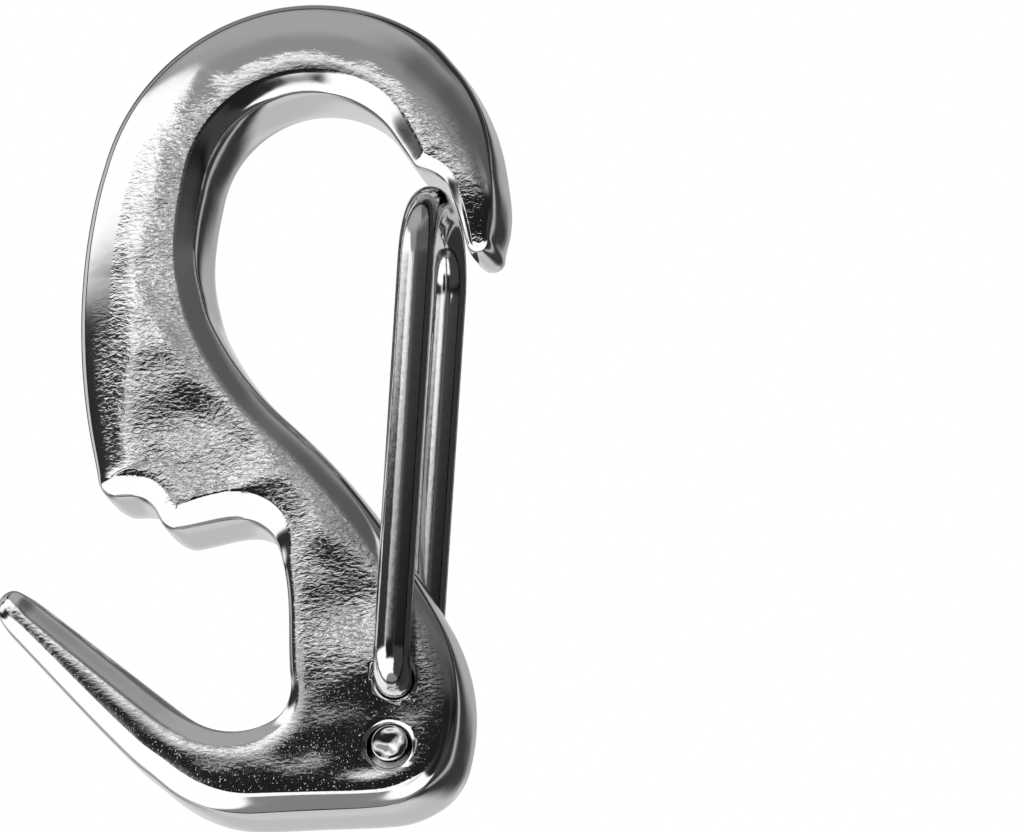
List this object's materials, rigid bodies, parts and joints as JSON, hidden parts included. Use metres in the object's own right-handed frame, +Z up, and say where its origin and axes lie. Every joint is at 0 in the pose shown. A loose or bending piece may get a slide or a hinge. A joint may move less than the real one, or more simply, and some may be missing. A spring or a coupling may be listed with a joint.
{
  "type": "wire-gate sail hank",
  "caption": "Forged double hook with a round stay seat, a crimp-on lower hook for a sail's eyelet, and a sprung wire gate.",
  "frame": {"origin": "centre of the round stay seat of the upper hook, half way through the forging's thickness", "axes": "+Z up, from the lower hook to the upper hook; +X towards the gate; +Y from the front face to the back face, along the stay"},
  "size_m": [0.0413, 0.0164, 0.0683],
  "materials": {
    "forging": "bright tumbled stainless, finely hammered flats and smooth bevels",
    "gate_wire": "polished drawn stainless wire"
  },
  "bodies": {
    "hook": {"hook_body": "forging"},
    "gate_front": {"gate_wire_front": "gate_wire"},
    "gate_back": {"gate_wire_back": "gate_wire"}
  },
  "joints": [
    {"name": "gate_open", "type": "hinge", "parent": "hook", "child": "gate_front", "pos_m": [0.0077, 0, -0.04123], "axis": [0, -1, 0], "range_deg": [0, 24], "stiffness_Nm_per_rad": 0.25, "springref_deg": -28.65},
    {"name": "gate_flex", "type": "hinge", "parent": "gate_front", "child": "gate_back", "pos_m": [0.01009, 0, -0.00077], "axis": [0, -1, 0], "range_deg": [-2.7, 0]}
  ],
  "couplings": [
    {"joint": "gate_flex", "follows": "gate_open", "ratio": -0.11}
  ]
}
